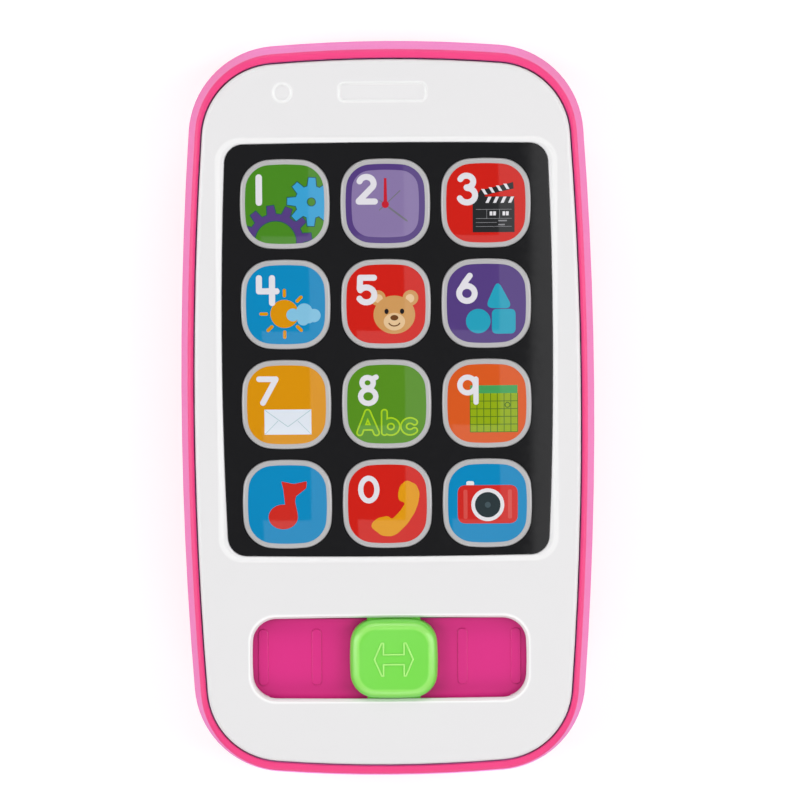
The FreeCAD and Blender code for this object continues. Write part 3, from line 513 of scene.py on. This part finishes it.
def printed_skin(button):
    """The printed skin of one button, curved over its dome, with one ink for each part of its picture."""
    sizes = bpy.context.scene.toy_phone_sizes
    field, slot, picture, digit = PICTURES[button]
    layers = [(field, [squircle(CAP_HALF, CAP_BOW, CAP_CORNER, sizes.print_border / MM)], [])] + picture()
    if digit:
        layers.append(number(digit))
    points, faces, tops = partition(layers)
    low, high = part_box("button_" + button)
    centre = (low + high) / 2
    ball = Vector((centre.x, centre.y, high.z - sizes.dome_radius))
    reach = sizes.dome_radius + sizes.print_lift
    flat = [Vector((centre.x + p.x * MM, centre.y + p.y * MM, 0)) for p in points]
    vertices = []
    for point in flat:
        out_x, out_y = point.x - ball.x, point.y - ball.y
        vertices.append((point.x, point.y, ball.z + math.sqrt(reach ** 2 - out_x ** 2 - out_y ** 2)))
    mesh = bpy.data.meshes.new("print_" + button)
    mesh.from_pydata(vertices, [], faces)
    inks = list(dict.fromkeys(layer[0] for layer in layers))
    for name in inks:
        mesh.materials.append(ink(name))
    mesh.polygons.foreach_set("material_index", [inks.index(layers[top][0]) for top in tops])
    skin = bpy.data.objects.new("print_" + button, mesh)
    bpy.context.collection.objects.link(skin)
    bpy.ops.object.select_all(action="DESELECT")
    bpy.context.view_layer.objects.active = skin
    skin.select_set(True)
    bpy.ops.object.mode_set(mode="EDIT")
    bpy.ops.mesh.select_all(action="SELECT")
    bpy.ops.mesh.normals_make_consistent(inside=False)
    bpy.ops.object.mode_set(mode="OBJECT")
    if mesh.polygons[0].normal.z < 0:
        mesh.flip_normals()
    wall = skin.modifiers.new("wall", "SOLIDIFY")
    wall.thickness = sizes.print_thickness
    wall.offset = -1
    bpy.ops.object.modifier_apply(modifier=wall.name)
    mesh.polygons.foreach_set("use_smooth", [True] * len(mesh.polygons))
    normals = [(vertex.co - ball).normalized() for vertex in mesh.vertices]
    mesh.normals_split_custom_set_from_vertices(normals)
    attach(skin, "button_" + button)


# ================================================================ finishes of the moulded and pressed parts
# each recess of the face: centre, half size, corner radius and the band round it whose colour is painted lighter
# as a highlight, in millimetres, and how strong that painted highlight is
PAINTED_RECESS_HIGHLIGHTS = (
    ((-19.3, 60.4), (1.85, 1.85), 1.85, -0.45, 0.05, 1.0),
    ((-0.6, 60.4), (8.3, 1.85), 1.2, -0.4, 0.05, 1.0),
    ((0.0, -46.2), (25.9, 7.75), 4.5, 0.0, 0.7, 0.9),
    ((0.0, 12.1), (31.0, 38.9), 3.6, 0.0, 1.0, 0.45),
)
# the band fades over this distance inside and outside its edges, in millimetres
HIGHLIGHT_FADE = 0.18
# the arrow's ridge, whose green is painted lighter as a highlight, lies within this of the knob's middle, and of
# its top, in millimetres
ARROW_REACH = (3.9, 3.3, 0.13)
# half the width of the knob's cap, whose box also holds its flanges, and the band round its edge that is painted
# lighter as a highlight, in the same form as the recesses' bands
KNOB_HALF_WIDTH, KNOB_EDGE_HIGHLIGHT = 7.5, (5.0, -1.8, -0.6, 0.5)


def pink_abs():
    """Satin ABS with a pearl additive: saturated and opaque face on, with a violet sheen as it turns away."""
    return surface("pink_moulded_abs", colour_of("pink"), 0.4, grain_mm=0.5, ripple_mm=3.6, depth_mm=0.003,
                   tone=0.02, spread=0.03, IOR=1.45, Sheen_Weight=0.6, Sheen_Roughness=0.35,
                   Sheen_Tint=(0.75, 0.3, 1.0, 1.0))


def track_abs():
    """The slider's track: ABS in a deeper pink, a little glossier than the case, its gloss slightly uneven."""
    return surface("pink_moulded_track", colour_of("track"), 0.34, grain_mm=0.5, ripple_mm=3.0,
                   depth_mm=0.003, tone=0.03, spread=0.04, IOR=1.5)


def highlight_band(tree, place, centre, half, corner, low, high, strength):
    """The mask of a painted highlight band: that strength from low to high mm outside a rounded rectangle's edge,
    fading to 0 at either side.
    """
    shifted = add(tree, "ShaderNodeVectorMath", {0: place, 1: (centre[0] * MM, centre[1] * MM, 0)},
                  operation="SUBTRACT")
    folded = add(tree, "ShaderNodeVectorMath", {0: shifted.outputs[0]}, operation="ABSOLUTE")
    core = tuple(max(side - corner, 0) * MM for side in half)
    past = add(tree, "ShaderNodeVectorMath", {0: folded.outputs[0], 1: (*core, 1.0)}, operation="SUBTRACT")
    clipped = add(tree, "ShaderNodeVectorMath", {0: past.outputs[0], 1: (0, 0, 0)}, operation="MAXIMUM")
    reach = add(tree, "ShaderNodeVectorMath", {0: clipped.outputs[0]}, operation="LENGTH").outputs["Value"]
    middle, width = corner + (low + high) / 2, (high - low) / 2
    away = add(tree, "ShaderNodeMath", {0: reach, 1: middle * MM}, operation="SUBTRACT")
    off = add(tree, "ShaderNodeMath", {0: away.outputs[0]}, operation="ABSOLUTE")
    return add(tree, "ShaderNodeMapRange", {
        "Value": off.outputs[0], "From Min": (width + HIGHLIGHT_FADE) * MM,
        "From Max": max(width - HIGHLIGHT_FADE, 0) * MM, "To Max": strength}).outputs["Result"]


def white_abs():
    """Injection-moulded ABS, fine polished: near-white, softly glossy, with a painted highlight: lighter in a
    band round each recess.
    """
    material = surface("white_moulded_abs", colour_of("white"), 0.36, grain_mm=0.4, ripple_mm=2.6,
                       depth_mm=0.003, tone=0.008, spread=0.04, IOR=1.5)
    tree = material.node_tree
    place = found(tree, "ShaderNodeTexCoord").outputs["Object"]
    painted_highlight = 0.0
    for recess in PAINTED_RECESS_HIGHLIGHTS:
        band = highlight_band(tree, place, *recess)
        painted_highlight = add(tree, "ShaderNodeMath", {0: band, 1: painted_highlight}, operation="MAXIMUM").outputs[0]
    # painted highlight: the white is moved towards a brighter white in the band round each recess, standing in
    # for the gloss on its edge
    lighten(tree, painted_highlight, "F0F0F0")
    return material


def knob_abs():
    """Injection-moulded gloss ABS in green, with painted highlights: its raised arrow and a band round its edge
    are lighter.
    """
    material = surface("green_moulded_abs", colour_of("knob"), 0.3, grain_mm=0.6, ripple_mm=3.2,
                       depth_mm=0.003, tone=0.02, spread=0.02, IOR=1.5, Coat_Weight=0.15,
                       Coat_Roughness=0.2)
    tree = material.node_tree
    place = found(tree, "ShaderNodeTexCoord").outputs["Object"]
    axes = add(tree, "ShaderNodeSeparateXYZ", {"Vector": place}).outputs
    low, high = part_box("slider_knob")
    middle = (low + high) / 2
    ridge = 1.0
    for axis, centre, reach in (("X", middle.x, ARROW_REACH[0]), ("Y", middle.y, ARROW_REACH[1]),
                                ("Z", high.z, ARROW_REACH[2])):
        near = add(tree, "ShaderNodeMath", {0: axes[axis], 1: centre, 2: reach * MM}, operation="COMPARE")
        ridge = add(tree, "ShaderNodeMath", {0: near.outputs[0], 1: ridge}, operation="MULTIPLY").outputs[0]
    half = (high.x - low.x) / 2 / MM, KNOB_HALF_WIDTH
    edge = highlight_band(tree, place, (middle.x / MM, middle.y / MM), half, *KNOB_EDGE_HIGHLIGHT)
    painted_highlight = add(tree, "ShaderNodeMath", {0: ridge, 1: edge}, operation="MAXIMUM").outputs[0]
    # painted highlight: the green is lightened on the arrow's ridge and in a band round the knob's edge, standing
    # in for the gloss on them
    lighten(tree, painted_highlight, "A6E877")
    return material


def cap_abs():
    """Light grey moulded caps: the bare ring round each print, glossy where the mould was polished."""
    return surface("grey_moulded_caps", colour_of("ring"), 0.2, grain_mm=0.5, ripple_mm=2.4, depth_mm=0.003,
                   tone=0.01, spread=0.04, IOR=1.5)


# the film bows down past this distance right of the middle, in millimetres: its drop is the square of what is
# left of the distance, in metres, times the bow
FILM_BOW_START, FILM_BOW = 23.5, 6.0


def black_film():
    """Polyester film printed black on its back: deep under a glossy skin that bows down at its right edge."""
    depth_mm = 0.05
    material = surface("black_printed_film", colour_of("film"), 0.12, grain_mm=1.4, ripple_mm=30.0,
                       depth_mm=depth_mm, tone=0.1, spread=0.03, IOR=1.5)
    tree = material.node_tree
    place = found(tree, "ShaderNodeTexCoord").outputs["Object"]
    height = found(tree, "ShaderNodeBump").inputs["Height"]
    across = add(tree, "ShaderNodeSeparateXYZ", {"Vector": place}).outputs["X"]
    past = add(tree, "ShaderNodeMath", {0: across, 1: FILM_BOW_START * MM}, operation="SUBTRACT")
    clipped = add(tree, "ShaderNodeMath", {0: past.outputs[0], 1: 0.0}, operation="MAXIMUM")
    squared = add(tree, "ShaderNodeMath", {0: clipped.outputs[0], 1: 2.0}, operation="POWER")
    drop = add(tree, "ShaderNodeMath", {0: squared.outputs[0], 1: -FILM_BOW / (depth_mm * MM),
                                        2: height.links[0].from_socket}, operation="MULTIPLY_ADD")
    tree.links.new(drop.outputs[0], height)
    return material


def steel(name, roughness):
    """Plated steel: bright and neutral, its gloss and tone a little uneven."""
    return surface(name, linear("C9C8C4"), roughness, grain_mm=0.3, ripple_mm=0.9, depth_mm=0.004,
                   tone=0.05, spread=0.08, Metallic=1.0)


def inside_finishes():
    """The material of each record slot that is used inside the case, by the slot's name."""
    return {
        # silicone rubber: dull and slightly uneven
        "key_rubber": surface("grey_silicone_rubber", linear("B4B4B0"), 0.62, 0.3, 1.5, 0.01),
        # glass-fibre board under green solder mask: glossy and faintly rippled
        "circuit_board": surface("green_solder_mask", linear("1F6A3C"), 0.3, 0.5, 0.8, 0.01, tone=0.08),
        # potting resin: black and unevenly glossy, as it flowed
        "chip_resin": surface("black_potting_resin", linear("141416"), 0.28, 0.8, 2.5, 0.05, tone=0.1),
        # moulded component bodies: matt brown-black
        "components": surface("moulded_component_bodies", linear("3A2E26"), 0.5, 0.3, 0.8, 0.005, tone=0.1),
        "screw_steel": steel("zinc_plated_screw_steel", 0.3),
        "contact_steel": steel("nickel_plated_contact_steel", 0.22),
        # shrunk PVC sleeve over a cell: glossy, gently rippled
        "battery_jacket": surface("dark_grey_cell_sleeve", linear("3C4248"), 0.25, 0.8, 4.0, 0.02, tone=0.06),
        "speaker_steel": steel("zinc_plated_pressed_steel", 0.38),
        # pressed paper pulp: matt and mottled
        "speaker_paper": surface("pressed_paper_cone", linear("24221F"), 0.85, 0.25, 0.7, 0.03, tone=0.15),
        # sintered ferrite: dark grey, matt, granular
        "ferrite": surface("sintered_ferrite", linear("3B3B3D"), 0.6, 0.2, 0.6, 0.01, tone=0.1),
        # wool felt: matt, rough and mottled, without single fibres
        "felt": surface("grey_felt", linear("5A5A58"), 0.95, 0.2, 0.5, 0.05, tone=0.15),
        # moulded nylon: black with a dull sheen
        "switch_black": surface("black_moulded_nylon", linear("19191B"), 0.38, 0.4, 1.2, 0.006, tone=0.08),
        # PVC insulation of the leads: soft sheen
        "lead_red": surface("red_pvc_insulation", linear("B81E1A"), 0.4, 0.4, 1.5, 0.01),
        "lead_black": surface("black_pvc_insulation", linear("1A1A1C"), 0.4, 0.4, 1.5, 0.01),
    }


def dress(finishes, names=None):
    """Gives the named nodes, or all of them, the finish of each of their record slots that has one."""
    for name in names or frame["nodes"]:
        for slot in frame["nodes"][name].material_slots:
            slot.material = finishes.get(slot.material.name.split(".")[0], slot.material)


# ================================================================ operators
class TOYPHONE_OT_slider(bpy.types.Operator):
    """Finish the slider's track and its knob"""
    bl_idname = "toyphone.slider"
    bl_label = "Finish the Slider"

    def execute(self, context):
        dress({"pink_case": track_abs()}, ["slider_track"])
        dress({"knob_green": knob_abs()}, ["slider_knob"])
        return {"FINISHED"}


class TOYPHONE_OT_case(bpy.types.Operator):
    """Finish the two halves of the case and the battery door"""
    bl_idname = "toyphone.case"
    bl_label = "Finish the Case"

    def execute(self, context):
        dress({"pink_case": pink_abs(), "white_case": white_abs()})
        return {"FINISHED"}


class TOYPHONE_OT_film(bpy.types.Operator):
    """Finish the black film round the buttons"""
    bl_idname = "toyphone.film"
    bl_label = "Finish the Film"

    def execute(self, context):
        dress({"overlay_film": black_film()})
        return {"FINISHED"}


class TOYPHONE_OT_inside(bpy.types.Operator):
    """Finish the keypad, the board, the speaker, the cells, the switch, the leads and the screws"""
    bl_idname = "toyphone.inside"
    bl_label = "Finish the Inside"

    def execute(self, context):
        dress(inside_finishes())
        return {"FINISHED"}


class TOYPHONE_OT_prints(bpy.types.Operator):
    """Finish the twelve button caps and print the number and the picture on each"""
    bl_idname = "toyphone.prints"
    bl_label = "Print the Buttons"

    def execute(self, context):
        finishes = dict.fromkeys((record[1] for record in PICTURES.values()), cap_abs())
        for button in PICTURES:
            dress(finishes, ["button_" + button])
            printed_skin(button)
        return {"FINISHED"}


# keeps the floor clear of the case's flat back
FLOOR_GAP = 0.2 * MM
# each softbox: place, target, size in metres, radiance
PANELS = {
    "side_left": ((-0.80, 0.05, 0.62), (0, 0, 0.02), (0.5, 1.0), 4.0),
    "side_right": ((0.80, 0.05, 0.62), (0, 0, 0.02), (0.5, 1.0), 4.0),
    "far_end": ((0.0, 0.85, 0.62), (0, 0, 0.02), (1.0, 0.4), 3.0),
    "near_end": ((0.0, -0.85, 0.62), (0, 0, 0.02), (1.0, 0.4), 3.0),
    "right_fill": ((0.32, -0.05, 0.95), (0.32, -0.05, 0), (0.36, 0.8), 0.75),
    "near_fill": ((-0.05, -0.36, 0.95), (-0.05, -0.36, 0), (0.38, 0.24), 0.8),
}
WORLD_STRENGTH = 0.14
# the camera aims this far from the middle of the face, in millimetres
AIM_OFFSET = (2.3, 2.72)
LENS_MM, SENSOR_MM = 175, 36


def add_floor():
    """A pale matt table that glows faintly. It is clear from below, so that the phone's back can be seen."""
    bpy.ops.object.select_all(action="DESELECT")
    bpy.ops.mesh.primitive_plane_add(size=6.0, location=(0, 0, -FLOOR_GAP))
    floor = bpy.context.object
    floor.name = "floor"
    finish = surface("matt_white_paper", linear("C6C6C6"), 0.8, 0.8, 3.0, 0.01, tone=0.002,
                     Specular_IOR_Level=0.1, Emission_Color=(1, 1, 1, 1), Emission_Strength=0.52)
    tree = finish.node_tree
    under = add(tree, "ShaderNodeNewGeometry").outputs["Backfacing"]
    solid = add(tree, "ShaderNodeMath", {0: 1.0, 1: under}, operation="SUBTRACT")
    tree.links.new(solid.outputs[0], tree.nodes["Principled BSDF"].inputs["Alpha"])
    floor.data.materials.append(finish)


def add_panel(name, place, target, size, radiance):
    """A flat softbox of that size in metres, at place and facing target, of that radiance."""
    place, target = Vector(place), Vector(target)
    bpy.ops.object.light_add(type="AREA", location=place)
    panel = bpy.context.object
    panel.name = name
    panel.rotation_euler = (target - place).to_track_quat("-Z", "Y").to_euler()
    panel.data.shape = "RECTANGLE"
    panel.data.size, panel.data.size_y = size
    panel.data.energy = radiance * math.pi * size[0] * size[1]
    panel.visible_camera = False


def add_camera(sizes):
    """A long lens straight above the face, leaning a little towards the earpiece end."""
    low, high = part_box("front_housing")
    middle = (low + high) / 2
    aim = Vector((middle.x + AIM_OFFSET[0] * MM, middle.y + AIM_OFFSET[1] * MM, high.z))
    away = Vector((0, math.sin(sizes.camera_tilt), math.cos(sizes.camera_tilt)))
    bpy.ops.object.camera_add(location=aim + away * sizes.camera_distance)
    camera = bpy.context.object
    lean = Matrix.Rotation(-sizes.camera_tilt, 3, "X")
    camera.rotation_euler = (lean @ Matrix.Rotation(sizes.camera_roll, 3, "Z")).to_euler()
    camera.data.lens = LENS_MM
    camera.data.sensor_width = SENSOR_MM
    camera.data.clip_end = 20
    bpy.context.scene.camera = camera


class TOYPHONE_OT_stage(bpy.types.Operator):
    """Set the pale floor, the soft lights and the camera"""
    bl_idname = "toyphone.stage"
    bl_label = "Set the Stage"

    def execute(self, context):
        add_floor()
        for name, panel in PANELS.items():
            add_panel(name, *panel)
        world = bpy.data.worlds.new("dim_studio")
        world.use_nodes = True
        background = world.node_tree.nodes["Background"].inputs
        background["Color"].default_value = (1, 1, 1, 1)
        background["Strength"].default_value = WORLD_STRENGTH
        context.scene.world = world
        add_camera(context.scene.toy_phone_sizes)
        context.scene.view_settings.view_transform = "Standard"
        return {"FINISHED"}


class TOYPHONE_PT_panel(bpy.types.Panel):
    """The steps that make the phone's looks"""
    bl_idname = "TOYPHONE_PT_panel"
    bl_label = "Toy Phone"
    bl_space_type = "VIEW_3D"
    bl_region_type = "UI"
    bl_category = "Toy Phone"

    def draw(self, context):
        for operator in OPERATORS:
            self.layout.operator(operator.bl_idname)
        for group in (context.scene.toy_phone_sizes, context.scene.toy_phone_colours):
            for name in group.bl_rna.properties.keys():
                if name not in ("rna_type", "name"):
                    self.layout.prop(group, name)


OPERATORS = (TOYPHONE_OT_slider, TOYPHONE_OT_case, TOYPHONE_OT_film, TOYPHONE_OT_inside, TOYPHONE_OT_prints,
             TOYPHONE_OT_stage)
CLASSES = (ToyPhoneSizes, ToyPhoneColours, *OPERATORS, TOYPHONE_PT_panel)


def register():
    for kind in CLASSES:
        bpy.utils.register_class(kind)
    bpy.types.Scene.toy_phone_sizes = bpy.props.PointerProperty(type=ToyPhoneSizes)
    bpy.types.Scene.toy_phone_colours = bpy.props.PointerProperty(type=ToyPhoneColours)


def unregister():
    del bpy.types.Scene.toy_phone_colours
    del bpy.types.Scene.toy_phone_sizes
    for kind in reversed(CLASSES):
        bpy.utils.unregister_class(kind)


def main():
    register()
    bpy.ops.toyphone.slider()
    bpy.ops.toyphone.case()
    bpy.ops.toyphone.film()
    bpy.ops.toyphone.inside()
    bpy.ops.toyphone.prints()
    bpy.ops.toyphone.stage()


if __name__ == "__main__":
    main()
